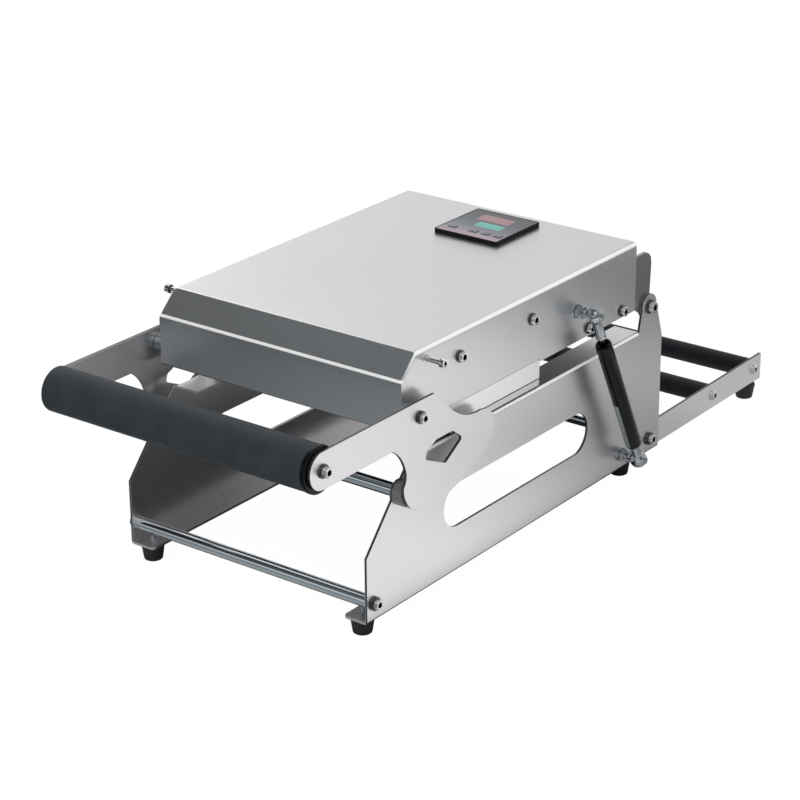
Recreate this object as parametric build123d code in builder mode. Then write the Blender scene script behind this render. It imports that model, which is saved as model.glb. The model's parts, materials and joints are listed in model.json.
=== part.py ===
from build123d import *
import math
import os

os.makedirs("parts", exist_ok=True)

# Sizes in mm. X is left to right, +Y runs from the handle to the film cradle, +Z is up, Z = 0 is the floor.
# The middle of the whole length is at Y = 0.

# Common sheet and fixing sizes
sheet = 2.5
gap = 0.3
run_gap = 0.05
bolt_gap = 0.15
m6_r = 3.0
m5_r = 2.5
shoulder_r = 4.0
nut_r = 5.6
nut_h = 5.0
thread_end = 1.0
thread_spare = 2.0
washer_r = 6.4
washer_h = 1.2
cap_r = 5.0
cap_h = 5.6
hex_r = 2.9
hex_depth = 3.0
small_nut_r = 4.6
small_nut_h = 4.0
over = 1.0

# Frame side plates
front = -289.1
body_half = 134.7
web_in = body_half - sheet
foot_h = 15.0
frame_depth = 465.0
frame_h = 133.0
frame_top = foot_h + frame_h
frame_rear = front + frame_depth
nose_h = 62.0
slant_len = 61.5
slant_base = foot_h + nose_h
slant_top_y = front + slant_len
flange_inset = 4.2
flange_front = slant_top_y + flange_inset
hinge_inset = 24.0
hinge_rise = 21.0
ear_r = 12.5
ear_root = 4.5
ear_drop = 14.0
hinge_y = frame_rear - hinge_inset
hinge_z = frame_top + hinge_rise
flange_rear = hinge_y - ear_r - ear_root
top_flange = 28.0
bottom_flange = 26.0
flange_corner = 4.0
bend_r = 3.5
slot_len = 227.5
slot_h = 41.0
slot_inset = 223.25
slot_rise = 64.5
slot_y = front + slot_inset
slot_z = foot_h + slot_rise

# Cross rods
rod_r = 6.0
rod_bore = 16.0
low_front_inset = 9.5
low_front_rise = 17.5
low_rear_inset = 18.6
low_rear_rise = 15.5
up_front_inset = 46.5
up_front_drop = 25.2
low_front = (front + low_front_inset, foot_h + low_front_rise)
low_rear = (frame_rear - low_rear_inset, foot_h + low_rear_rise)
up_front = (front + up_front_inset, frame_top - up_front_drop)
bush_r = 11.4
bush_bore_r = 5.8
bush_bore = 6.5

# Feet
foot_inset_x = 14.7
foot_front_inset = 12.0
foot_rear_inset = 47.0
foot_x = body_half - foot_inset_x
foot_front_y = front + foot_front_inset
foot_rear_y = frame_rear - foot_rear_inset
foot_top_r = 10.8
foot_low_r = 8.6
foot_nut_r = 4.2
foot_nut_h = 2.4
foot_stud_end = 2.6

# Mould plate and its rest strips
pad_t = 2.5
pad_inset = 1.5
mould_t = 5.8
mould_corner = 2.0
tool_len = 137.0
tool_inset = 119.0
tool_front = front + tool_inset
tool_rear = tool_front + tool_len
tool_y = (tool_front + tool_rear) / 2
tray_rim_x = 45.7
tray_rim_y = 12.0
tray_x = 2 * (body_half - tray_rim_x)
tray_y = tool_len - 2 * tray_rim_y
tray_r = 18.0
seal_w = 5.0
seal_t = 1.6
pin_r = 2.5
pin_head = 2.0
pin_head_h = 1.5
pin_inset_x = 13.7
pin_inset_y = 16.5
pin_x = body_half - pin_inset_x
pin_dy = tool_len / 2 - pin_inset_y
pad_top = frame_top + pad_t
mould_top = pad_top + mould_t

# Film cradle
rail_t = 3.0
rail_in = web_in - rail_t
rail_half = 12.7
rail_reach = 205.0
rail_climb = 4.0
rail_end = frame_rear + rail_reach
rail_end_z = low_rear[1] + rail_climb
roller_rear_inset = 15.0
roller_pitch = 82.0
roller_ys = (rail_end - roller_rear_inset - roller_pitch, rail_end - roller_rear_inset)
roller_r = 10.0
roller_wall = 2.0
roller_side = 3.2
roller_half = rail_in - roller_side
axle_r = 4.0
plug_len = 12.0
button_r = 4.6
button_h = 3.6
tab_len = 24.0
tab_w = 22.0
tab_t = 2.0
tab_rise = 4.6
tab_z = foot_h + tab_rise
tab_head_r = 5.0
tab_head_h = 1.4
cradle_foot_y = rail_end - tab_len / 2
cradle_foot_x = web_in - tab_w / 2

# Heating head
head_inset = 50.0
head_depth = 364.6
head_base_gap = 25.0
head_h = 68.0
bevel_len = 21.0
bevel_drop = 20.3
head_front = front + head_inset
head_bevel_y = head_front + bevel_len
head_rear = head_front + head_depth
head_bottom = frame_top + head_base_gap
head_top = head_bottom + head_h
head_bevel_z = head_top - bevel_drop
head_bend = 4.0
cross_bend = 2.4
lip = 12.0
head_in_top = head_top - sheet
skirt_cut = 2.6

# Hinge brackets of the head
bracket_t = 3.0
bracket_out = web_in - gap
bracket_in = bracket_out - bracket_t
bracket_reach = 119.0
bracket_slope = 63.0
bracket_step_z = 23.5
bracket_top_drop = 16.6
bracket_rise = 0.5
bracket_eye_r = 12.0
bracket_top = head_top - bracket_top_drop
slot_over = 1.1
bracket_brow = ((-5.1, 0.0), (0.4, -2.7), (4.2, -6.9), (5.4, -12.8))
bracket_back = 3.0
bracket_heel = (-12.0, -4.0)
bracket_toe = 2.0
bracket_screws_at = ((hinge_y - 107.0, head_bottom + 7.5), (hinge_y - 50.0, head_bottom + 7.0))
hinge_head_r = 6.0
hinge_washer_r = 7.4
hinge_nut_r = 7.2

# Tool under the head
tool_rise = 1.0
tool_bottom = mould_top + tool_rise
tool_top = head_bottom + skirt_cut - gap
tool_corner = 1.5
tool_rim_x = 24.7
tool_rim_y = 12.0
tool_open_x = body_half - tool_rim_x
tool_open_y = tool_len / 2 - tool_rim_y
blade_t = 1.2
blade_step = 0.3
blade_h = 9.0
blade_bottom = tool_bottom - blade_step
blade_top = blade_bottom + blade_h
plate_side_x = 5.0
plate_side_y = 4.0
plate_lift = 1.0
plate_x = tool_open_x - plate_side_x
plate_y = tool_open_y - plate_side_y
plate_z0 = tool_bottom + plate_lift
plate_t = 12.0
pad_side_x = 7.0
pad_side_y = 4.5
pad_x = plate_x - pad_side_x
pad_y = plate_y - pad_side_y
insul_t = 10.0
press_t = 4.0
bridge_t = 3.0
bridge_drop = 11.5
tb_top = head_in_top - bridge_drop
tb_flange = 20.0
tb_inset = 6.5
tb_half = tool_len / 2 - tb_inset
bridge_inset = 7.0
bridge_y = tb_half - bridge_inset
tool_screw_drop = 9.3
tool_screw_inset = 14.0
tool_screws_at = (
    (tool_front + tool_screw_inset, tb_top - tool_screw_drop),
    (tool_rear - tool_screw_inset, tb_top - tool_screw_drop))
frame_screw_inset = 12.0
frame_screw_dy = 40.0
frame_screw_depth = 12.0
small_cap_r = 4.2
small_cap_h = 4.5
guide_inset_x = 18.0
guide_inset_y = 12.0
guide_x = pad_x - guide_inset_x
guide_y = pad_y - guide_inset_y
guide_r = 3.0
spring_gap = 1.0
spring_wire = 1.2
spring_turns = 5
heater_r = 5.0
heater_side = 9.0
heater_half = plate_x - heater_side
heater_dy = 30.0
probe_r = 2.0
probe_x = 40.0
probe_depth = 6.0
probe_head_r = 4.0
probe_head_h = 5.0
pan_t = 1.2
pan_rise = 2.2
pan_z = head_bottom + pan_rise
pan_side = 0.9
pan_half = bracket_in - nut_h - thread_end - pan_side
pan_lip = 9.0
pan_gap = 3.0

# Lever
arm_t = 3.0
arm_stand = 9.8
arm_in = body_half + arm_stand
arm_out = arm_in + arm_t
pivot_inset = 59.0
pivot_rise = 16.7
handle_reach = 71.0
handle_rise = 15.0
pivot_y = front + pivot_inset
pivot_z = head_bottom + pivot_rise
handle_y = front - handle_reach
handle_z = head_bottom + handle_rise
arm_half = 16.5
spacer_r = 8.3
spacer_end = arm_in - gap
core_r = 15.0
core_wall = 2.0
core_plug = 22.0
plug_screw = 4.0
grip_r = 20.3
ring_r = 20.8
ring_len = 4.5
end_cap_len = 0.8
ring_round = 1.0
grip_right = spacer_end - ring_len
grip_left = spacer_end - end_cap_len
stop_inset = 84.0
stop_drop = 9.5
stop_stand = 15.8
stop_y = front + stop_inset
stop_z = head_top - stop_drop
stop_neck = body_half + stop_stand
stop_tail = 4.5
stop_head_r = 4.25
stop_head_h = 5.0
window_round = 3.0

# Gas struts
strut_stand = 20.3
strut_x = body_half + strut_stand
low_ball_inset = 69.0
low_ball_rise = 17.0
top_ball_inset = 102.1
top_ball_drop = 37.0
low_ball = (frame_rear - low_ball_inset, foot_h + low_ball_rise)
top_ball = (head_rear - top_ball_inset, head_top - top_ball_drop)
ball_r = 5.0
socket_r = 8.8
stud_hex = 7.0
stud_hex_h = 9.0
stud_neck = 3.4
neck_room = 0.4
tube_r = 7.8
tube_in = 6.7
tube_from = 20.6
rod_bare = 7.8
tube_floor = 6.0
guide_h = 5.0
strut_rod_r = 3.0
guide_gap = 0.9
rod_from = 28.0
piston_end = 41.2
piston_r = 4.7
piston_h = 8.0
neck_r = 4.6

# Controller
ctl = 72.0
ctl_corner = 2.0
ctl_inset = 51.1
ctl_y = head_rear - ctl_inset
ctl_body = 67.0
ctl_cut = 68.0
ctl_bezel = 4.0
ctl_room = 13.8
key_x = (-23.8, 0.0, 14.2, 27.4)
key_y = ctl_y - 21.6
key_w = 8.4
key_d = 5.6
key_base = 1.2
key_stand = 0.7
key_round = 0.4
disp_t = 0.8
win_up = (-1.4, ctl_y + 16.8, 36.0, 14.8)
win_low = (4.0, ctl_y - 1.8, 29.4, 12.4)

# Cable gland at the back
gland_x = 60.0
gland_rise = 24.0
gland_z = head_bottom + gland_rise
gland_r = 6.0
gland_tail = 8.0
gland_hex = 11.0
gland_h = 6.0
gland_cap_r = 9.0
gland_cap_h = 12.0
gland_seal_r = 4.5
gland_seal_h = 12.5
gland_nut = 10.0
gland_nut_h = 4.0

low = (Align.CENTER, Align.CENTER, Align.MIN)
mid = (Align.CENTER, Align.CENTER, Align.CENTER)
high_end = (Align.CENTER, Align.CENTER, Align.MAX)
sides = (1, -1)
named_sides = ((1, "right"), (-1, "left"))
made = []


def outward(x, y, z, side):
    # a place whose own Z points away from the middle of the machine
    return Location((side * x, y, z), (0, 90 * side, 0))


def cap_screw(x, y, z, side, tip_x, shank=m6_r, head=cap_r, high=cap_h, washer=0.0):
    # socket head screw, with a captive washer if asked, seated at x, its tip at tip_x inside
    if washer:
        with Locations(outward(x, y, z, side)):
            Cylinder(washer, washer_h, align=low)
        x = x + washer_h
    with Locations(outward(x, y, z, side)):
        Cylinder(head, high, align=low)
        Cylinder(shank, x - tip_x, align=high_end)
    socket = Plane(origin=(side * (x + high), y, z), z_dir=(side, 0, 0))
    with BuildSketch(socket) as recess_shape:
        RegularPolygon(hex_r * head / cap_r, 6)
    extrude(recess_shape.sketch, amount=-hex_depth, mode=Mode.SUBTRACT)


def disc(x, y, z, side, outer, inner, thick):
    # flat ring seated at x and growing outward
    with Locations(outward(x, y, z, side)):
        Cylinder(outer, thick, align=low)
        Cylinder(inner, thick, align=low, mode=Mode.SUBTRACT)


def cross_hole(x0, x1, y, z, side, radius):
    with Locations(outward(x0, y, z, side)):
        Cylinder(radius, x1 - x0, align=low, mode=Mode.SUBTRACT)


def hex_nut(x, y, z, side, thick=nut_h, inner=m6_r + bolt_gap, outer=nut_r):
    # nut whose outer face sits at x and which grows inward
    face = Plane(origin=(side * x, y, z), z_dir=(-side, 0, 0))
    with BuildSketch(face) as nut_shape:
        RegularPolygon(outer, 6)
        Circle(inner, mode=Mode.SUBTRACT)
    extrude(nut_shape.sketch, amount=thick)


def box_between(x0, x1, y0, y1, z0, z1, mode=Mode.ADD):
    with Locations(((x0 + x1) / 2, (y0 + y1) / 2, (z0 + z1) / 2)):
        Box(abs(x1 - x0), abs(y1 - y0), abs(z1 - z0), mode=mode)


def rail_z(y):
    # middle height of the cradle rail, which climbs a little to the back
    return low_rear[1] + (rail_end_z - low_rear[1]) * (y - low_rear[0]) / (rail_end - low_rear[0])


def keep(name, label):
    name.part.label = label
    export_step(name.part, "parts/" + label + ".step")
    made.append(label)


# Frame side plates
ear_low = (frame_rear, frame_top - ear_drop)
for side, word in named_sides:
    with BuildPart() as frame_plate:
        start = web_in if side > 0 else -body_half
        with BuildSketch(Plane.YZ.offset(start)):
            with BuildLine():
                Polyline(
                    (front, foot_h + bend_r), (front, slant_base), (slant_top_y, frame_top),
                    (flange_front, frame_top), (flange_front, frame_top - bend_r),
                    (flange_rear, frame_top - bend_r), (flange_rear, frame_top),
                    (hinge_y - ear_r, hinge_z), (hinge_y + ear_r, hinge_z), ear_low,
                    (frame_rear, foot_h + bend_r), close=True)
            make_face()
            with Locations((hinge_y, hinge_z)):
                Circle(ear_r)
            with Locations(up_front):
                Circle(bush_r - gap)
            with Locations((slot_y, slot_z)):
                SlotOverall(slot_len, slot_h, mode=Mode.SUBTRACT)
            for spot in (low_front, low_rear, up_front, low_ball):
                with Locations(spot):
                    Circle(m6_r + bolt_gap, mode=Mode.SUBTRACT)
            with Locations((hinge_y, hinge_z)):
                Circle(shoulder_r + bolt_gap, mode=Mode.SUBTRACT)
        extrude(amount=sheet)
        # inward flanges with rounded bends
        for level, up, y0, y1, wide in (
                (frame_top, -1, flange_front, flange_rear, top_flange),
                (foot_h, 1, front, frame_rear, bottom_flange)):
            with BuildSketch(Plane.XZ.offset(-y0)):
                with BuildLine():
                    Line((side * body_half, level + up * bend_r), (side * web_in, level + up * bend_r))
                    Line((side * web_in, level + up * bend_r), (side * web_in, level + up * sheet))
                    Line((side * web_in, level + up * sheet),
                         (side * (body_half - wide), level + up * sheet))
                    Line((side * (body_half - wide), level + up * sheet), (side * (body_half - wide), level))
                    Line((side * (body_half - wide), level), (side * (body_half - bend_r), level))
                    bulge = bend_r * (1 - math.sqrt(0.5))
                    ThreePointArc(
                        (side * (body_half - bend_r), level),
                        (side * (body_half - bulge), level + up * bulge),
                        (side * body_half, level + up * bend_r))
                make_face()
            extrude(amount=-(y1 - y0))
        fillet(frame_plate.edges().filter_by(Axis.Z).group_by(Axis.Z)[0], flange_corner)
        for y in (foot_front_y, foot_rear_y):
            with Locations((side * foot_x, y, foot_h)):
                Cylinder(m5_r + bolt_gap, sheet, align=low, mode=Mode.SUBTRACT)
        for y in (tool_y - pin_dy, tool_y + pin_dy):
            with Locations((side * pin_x, y, frame_top - sheet)):
                Cylinder(pin_r + bolt_gap, sheet, align=low, mode=Mode.SUBTRACT)
    keep(frame_plate, "frame_plate_" + word)

# Cross rods
with BuildPart() as cross_rods:
    for spot, half in ((low_front, web_in), (low_rear, rail_in), (up_front, web_in)):
        with Locations(Location((0, spot[0], spot[1]), (0, 90, 0))):
            Cylinder(rod_r, 2 * half, align=mid)
        for side in sides:
            cross_hole(half - rod_bore, half, spot[0], spot[1], side, m6_r + bolt_gap)
keep(cross_rods, "cross_rods")

with BuildPart() as guide_bushes:
    for side in sides:
        disc(body_half, up_front[0], up_front[1], side, bush_r, m6_r + bolt_gap, spacer_end - body_half)
        cross_hole(spacer_end - bush_bore, spacer_end, up_front[0], up_front[1], side, bush_bore_r)
keep(guide_bushes, "guide_bushes")

with BuildPart() as frame_screws:
    for side in sides:
        for y, z in (low_front, low_rear):
            tip = (rail_in if (y, z) == low_rear else web_in) - rod_bore + thread_spare
            cap_screw(body_half, y, z, side, tip, washer=washer_r)
        cap_screw(spacer_end - bush_bore, up_front[0], up_front[1], side, web_in - rod_bore + thread_spare)
        for y in roller_ys:
            tip = rail_in - rod_bore + thread_spare
            cap_screw(web_in, y, rail_z(y), side, tip, m5_r, button_r, button_h)
keep(frame_screws, "frame_screws")

# Mould plate on its rest strips
with BuildPart() as mould_strips:
    for side in sides:
        box_between(side * (body_half - top_flange + over), side * (body_half - pad_inset),
                    tool_front, tool_rear, frame_top, pad_top)
        for y in (tool_y - pin_dy, tool_y + pin_dy):
            with Locations((side * pin_x, y, frame_top)):
                Cylinder(pin_r + bolt_gap, pad_t, align=low, mode=Mode.SUBTRACT)
keep(mould_strips, "mould_strips")

with BuildPart() as mould_plate:
    with BuildSketch(Plane.XY.offset(pad_top)):
        with Locations((0, tool_y)):
            RectangleRounded(2 * body_half, tool_len, mould_corner)
            RectangleRounded(tray_x, tray_y, tray_r, mode=Mode.SUBTRACT)
        with Locations(*[(s * pin_x, tool_y + d) for s in sides for d in (pin_dy, -pin_dy)]):
            Circle(pin_r + bolt_gap, mode=Mode.SUBTRACT)
    extrude(amount=mould_t)
    with BuildSketch(Plane.XY.offset(mould_top)):
        with Locations((0, tool_y)):
            RectangleRounded(tray_x + 2 * seal_w, tray_y + 2 * seal_w, tray_r + seal_w)
    extrude(amount=-seal_t, mode=Mode.SUBTRACT)
keep(mould_plate, "mould_plate")

with BuildPart() as mould_seal:
    with BuildSketch(Plane.XY.offset(mould_top - seal_t)):
        with Locations((0, tool_y)):
            RectangleRounded(tray_x + 2 * seal_w, tray_y + 2 * seal_w, tray_r + seal_w)
            RectangleRounded(tray_x, tray_y, tray_r, mode=Mode.SUBTRACT)
    extrude(amount=seal_t)
keep(mould_seal, "mould_seal")

with BuildPart() as mould_pins:
    with Locations(*[(s * pin_x, tool_y + d, frame_top - sheet) for s in sides for d in (pin_dy, -pin_dy)]):
        Cylinder(pin_r, mould_top - frame_top + sheet, align=low)
        with Locations((0, 0, -pin_head_h)):
            Cylinder(pin_r + pin_head, pin_head_h, align=low)
keep(mould_pins, "mould_pins")

# Film cradle
for side, word in named_sides:
    with BuildPart() as rail:
        start = rail_in if side > 0 else -web_in
        with BuildSketch(Plane.YZ.offset(start)):
            with BuildLine():
                Polyline((low_rear[0], low_rear[1] - rail_half), (rail_end - tab_len, tab_z),
                         (rail_end, tab_z), (rail_end, rail_end_z + rail_half),
                         (low_rear[0], low_rear[1] + rail_half), close=True)
            make_face()
            with Locations(low_rear):
                Circle(rail_half)
            with Locations(low_rear):
                Circle(m6_r + bolt_gap, mode=Mode.SUBTRACT)
            with Locations(*[(y, rail_z(y)) for y in roller_ys]):
                Circle(m5_r + bolt_gap, mode=Mode.SUBTRACT)
        extrude(amount=rail_t)
        box_between(side * (web_in - tab_w), side * web_in, rail_end - tab_len, rail_end,
                    tab_z, tab_z + tab_t)
        with Locations((side * cradle_foot_x, cradle_foot_y, tab_z)):
            Cylinder(m5_r + bolt_gap, tab_t, align=low, mode=Mode.SUBTRACT)
    keep(rail, "cradle_rail_" + word)

# Rubber feet with their studs, under the frame and under the cradle
frame_feet = [(s * foot_x, y) for s in sides for y in (foot_front_y, foot_rear_y)]
cradle_feet = [(s * cradle_foot_x, cradle_foot_y) for s in sides]
with BuildPart() as rubber_feet:
    for x, y in frame_feet + cradle_feet:
        with Locations((x, y, 0)):
            Cone(foot_low_r, foot_top_r, foot_h, align=low)
            with Locations((0, 0, foot_h / 2)):
                Cylinder(m5_r + bolt_gap, foot_h / 2, align=low, mode=Mode.SUBTRACT)
keep(rubber_feet, "rubber_feet")

with BuildPart() as foot_studs:
    for spots, seat, nut_z, nut_t in (
            (frame_feet, foot_h + sheet + foot_nut_h + foot_stud_end, foot_h + sheet, foot_nut_h),
            (cradle_feet, tab_z + tab_t, foot_h, tab_z - foot_h)):
        with Locations(*[(x, y, foot_h / 2) for x, y in spots]):
            Cylinder(m5_r, seat - foot_h / 2, align=low)
        with BuildSketch(Plane.XY.offset(nut_z)):
            with Locations(*spots):
                RegularPolygon(foot_nut_r, 6)
        extrude(amount=nut_t)
    with Locations(*[(x, y, tab_z + tab_t) for x, y in cradle_feet]):
        Cylinder(tab_head_r, tab_head_h, align=low)
keep(foot_studs, "foot_studs")

with BuildPart() as roller_axles:
    for y in roller_ys:
        with Locations(Location((0, y, rail_z(y)), (0, 90, 0))):
            Cylinder(axle_r, 2 * rail_in, align=mid)
        for side in sides:
            cross_hole(rail_in - rod_bore, rail_in, y, rail_z(y), side, m5_r + bolt_gap)
keep(roller_axles, "roller_axles")

for y, word in zip(roller_ys, ("front", "rear")):
    with BuildPart() as roller:
        with Locations(Location((0, y, rail_z(y)), (0, 90, 0))):
            Cylinder(roller_r, 2 * roller_half, align=mid)
            Cylinder(roller_r - roller_wall, 2 * (roller_half - plug_len), align=mid, mode=Mode.SUBTRACT)
            Cylinder(axle_r + run_gap, 2 * roller_half, align=mid, mode=Mode.SUBTRACT)
    keep(roller, "film_roller_" + word)

# Hinge of the head
with BuildPart() as hinge_bolts:
    for side in sides:
        cap_screw(body_half, hinge_y, hinge_z, side, bracket_in - gap - nut_h - thread_end,
                  shoulder_r, hinge_head_r, cap_h, hinge_washer_r)
        hex_nut(bracket_in - gap, hinge_y, hinge_z, side, nut_h, shoulder_r, hinge_nut_r)
keep(hinge_bolts, "hinge_bolts")

# Cover of the head
with BuildPart() as head_cover:
    with BuildSketch(Plane.YZ.offset(-body_half)):
        Polygon((head_front, head_bottom), (head_front, head_bevel_z), (head_bevel_y, head_top),
                (head_rear, head_top), (head_rear, head_bottom), align=None)
    extrude(amount=2 * body_half)
    long_edges = head_cover.edges().filter_by(Axis.Y).group_by(Axis.Z)[-1]
    fillet(long_edges, head_bend)
    cross_edges = head_cover.edges().filter_by(Axis.X).filter_by_position(
        Axis.Y, head_front - over, head_bevel_y + over)
    fillet(cross_edges, cross_bend)
    inner_slope = sheet * math.tan(math.atan2(head_top - head_bevel_z, head_bevel_y - head_front) / 2)
    with BuildSketch(Plane.YZ.offset(-web_in)):
        Polygon((head_front + sheet, head_bottom), (head_front + sheet, head_bevel_z - inner_slope),
                (head_bevel_y + inner_slope, head_in_top), (head_rear - sheet, head_in_top),
                (head_rear - sheet, head_bottom), align=None)
    extrude(amount=2 * web_in, mode=Mode.SUBTRACT)
    # return lip under the front panel
    box_between(-web_in, web_in, head_front + sheet, head_front + lip, head_bottom, head_bottom + sheet)
    # notches over the tool frame, slots for the hinge brackets
    for side in sides:
        box_between(side * (web_in - over), side * (body_half + over), tool_front - gap, tool_rear + gap,
                    head_bottom, head_bottom + skirt_cut, Mode.SUBTRACT)
        box_between(side * (bracket_in - gap), side * web_in, head_rear - sheet - over, head_rear + over,
                    head_bottom, bracket_top + slot_over, Mode.SUBTRACT)
        for y, z in bracket_screws_at + tool_screws_at:
            cross_hole(web_in - over, body_half + over, y, z, side, m6_r + bolt_gap)
        cross_hole(web_in - over, body_half + over, top_ball[0], top_ball[1], side, m6_r + bolt_gap)
        cross_hole(web_in - over, body_half + over, stop_y, stop_z, side, m5_r + bolt_gap)
    box_between(-ctl_cut / 2, ctl_cut / 2, ctl_y - ctl_cut / 2, ctl_y + ctl_cut / 2,
                head_in_top - over, head_top + over, Mode.SUBTRACT)
    with Locations(Location((gland_x, head_rear, gland_z), (90, 0, 0))):
        Cylinder(gland_r + bolt_gap, 4 * sheet, align=mid, mode=Mode.SUBTRACT)
keep(head_cover, "head_cover")

for side, word in named_sides:
    with BuildPart() as bracket:
        start = bracket_in if side > 0 else -bracket_out
        low_z = head_bottom + bracket_rise
        with BuildSketch(Plane.YZ.offset(start)):
            with BuildLine():
                Polyline(
                    (hinge_y - bracket_reach, low_z), (hinge_y - bracket_reach, low_z + bracket_step_z),
                    (hinge_y - bracket_reach + bracket_slope, bracket_top),
                    *[(hinge_y + y, bracket_top + z) for y, z in bracket_brow],
                    (hinge_y + bracket_back, hinge_z),
                    (hinge_y + bracket_heel[0], hinge_z + bracket_heel[1]),
                    (head_rear + bracket_toe, low_z), close=True)
            make_face()
            with Locations((hinge_y, hinge_z)):
                Circle(bracket_eye_r)
                Circle(shoulder_r + run_gap, mode=Mode.SUBTRACT)
            with Locations(*bracket_screws_at):
                Circle(m6_r + bolt_gap, mode=Mode.SUBTRACT)
        extrude(amount=bracket_t)
    keep(bracket, "hinge_bracket_" + word)

frame_screw_spots = [
    (s * (web_in - frame_screw_inset), tool_y + d) for s in sides for d in (-frame_screw_dy, frame_screw_dy)]
with BuildPart() as head_screws:
    for side in sides:
        for spots, seat in ((bracket_screws_at, bracket_in), (tool_screws_at, web_in - sheet)):
            for y, z in spots:
                cap_screw(body_half, y, z, side, seat - nut_h - thread_end)
                hex_nut(seat, y, z, side, nut_h, m6_r, nut_r)
    with Locations(*[(x, y, tool_top + sheet) for x, y in frame_screw_spots]):
        Cylinder(small_cap_r, small_cap_h, align=low)
        Cylinder(m5_r, sheet + frame_screw_depth - thread_spare, align=high_end)
keep(head_screws, "head_screws")

with BuildPart() as stop_pins:
    for side in sides:
        cap_screw(stop_neck, stop_y, stop_z, side, web_in - stop_tail, m5_r, stop_head_r, stop_head_h)
        hex_nut(web_in, stop_y, stop_z, side, small_nut_h, m5_r, small_nut_r)
keep(stop_pins, "stop_pins")

# Tool frame and what hangs in it
with BuildPart() as tool_brackets:
    inner = web_in - sheet
    y0, y1 = tool_y - tb_half, tool_y + tb_half
    for side in sides:
        box_between(side * inner, side * web_in, y0, y1, tool_top, tb_top)
        box_between(side * (web_in - tb_flange), side * web_in, y0, y1, tool_top, tool_top + sheet)
        box_between(side * (web_in - tb_flange), side * web_in, y0, y1, tb_top - sheet, tb_top)
        for y, z in tool_screws_at:
            cross_hole(inner - over, web_in + over, y, z, side, m6_r + bolt_gap)
    with Locations(*[(x, y, tool_top) for x, y in frame_screw_spots]):
        Cylinder(m5_r + bolt_gap, sheet, align=low, mode=Mode.SUBTRACT)
keep(tool_brackets, "tool_brackets")

with BuildPart() as tool_frame:
    with BuildSketch(Plane.XY.offset(tool_bottom)):
        with Locations((0, tool_y)):
            RectangleRounded(2 * body_half, tool_len, tool_corner)
            Rectangle(2 * tool_open_x, 2 * tool_open_y, mode=Mode.SUBTRACT)
    extrude(amount=tool_top - tool_bottom)
    with Locations(*[(x, y, tool_top) for x, y in frame_screw_spots]):
        Cylinder(m5_r + bolt_gap, frame_screw_depth, align=high_end, mode=Mode.SUBTRACT)
keep(tool_frame, "tool_frame")

with BuildPart() as cut_blade:
    with BuildSketch(Plane.XY.offset(blade_bottom)):
        with Locations((0, tool_y)):
            Rectangle(2 * tool_open_x, 2 * tool_open_y)
            Rectangle(2 * (tool_open_x - blade_t), 2 * (tool_open_y - blade_t), mode=Mode.SUBTRACT)
    extrude(amount=blade_top - blade_bottom)
keep(cut_blade, "cut_blade")

plate_top = plate_z0 + plate_t
press_z = plate_top + insul_t
press_top = press_z + press_t
heater_z = plate_z0 + plate_t / 2
with BuildPart() as heating_plate:
    box_between(-plate_x, plate_x, tool_y - plate_y, tool_y + plate_y, plate_z0, plate_top)
    for d in (-heater_dy, heater_dy):
        with Locations(Location((0, tool_y + d, heater_z), (0, 90, 0))):
            Cylinder(heater_r + run_gap, 2 * plate_x, align=mid, mode=Mode.SUBTRACT)
    with Locations((probe_x, tool_y, plate_top)):
        Cylinder(probe_r + run_gap, probe_depth, align=high_end, mode=Mode.SUBTRACT)
keep(heating_plate, "heating_plate")

with BuildPart() as heaters:
    for d in (-heater_dy, heater_dy):
        with Locations(Location((0, tool_y + d, heater_z), (0, 90, 0))):
            Cylinder(heater_r, 2 * heater_half, align=mid)
keep(heaters, "heaters")

with BuildPart() as insulation:
    box_between(-pad_x, pad_x, tool_y - pad_y, tool_y + pad_y, plate_top, press_z)
    with Locations((probe_x, tool_y, plate_top)):
        Cylinder(probe_r + run_gap, insul_t, align=low, mode=Mode.SUBTRACT)
keep(insulation, "insulation_pad")

with BuildPart() as pressure_plate:
    box_between(-pad_x, pad_x, tool_y - pad_y, tool_y + pad_y, press_z, press_top)
    with Locations((probe_x, tool_y, press_z)):
        Cylinder(probe_r + run_gap, press_t, align=low, mode=Mode.SUBTRACT)
keep(pressure_plate, "pressure_plate")

with BuildPart() as thermocouple:
    with Locations((probe_x, tool_y, plate_top - probe_depth)):
        Cylinder(probe_r, press_top - plate_top + 2 * probe_depth, align=low)
    with Locations((probe_x, tool_y, press_top)):
        Cylinder(probe_head_r, probe_head_h, align=low)
keep(thermocouple, "thermocouple")

with BuildPart() as bridge_plate:
    with BuildSketch(Plane.XY.offset(tb_top)):
        with Locations((0, tool_y)):
            Rectangle(2 * (web_in - sheet), 2 * bridge_y)
            with Locations(*[(s * guide_x, d) for s in sides for d in (guide_y, -guide_y)]):
                Circle(guide_r + bolt_gap, mode=Mode.SUBTRACT)
    extrude(amount=bridge_t)
keep(bridge_plate, "bridge_plate")

with BuildPart() as guide_bolts:
    for s in sides:
        for d in (guide_y, -guide_y):
            with Locations((s * guide_x, tool_y + d, press_top)):
                Cylinder(guide_r, tb_top + bridge_t + nut_h - press_top, align=low)
            with BuildSketch(Plane.XY.offset(tb_top + bridge_t)):
                with Locations((s * guide_x, tool_y + d)):
                    RegularPolygon(nut_r, 6)
            extrude(amount=nut_h)
keep(guide_bolts, "guide_bolts")

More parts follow.
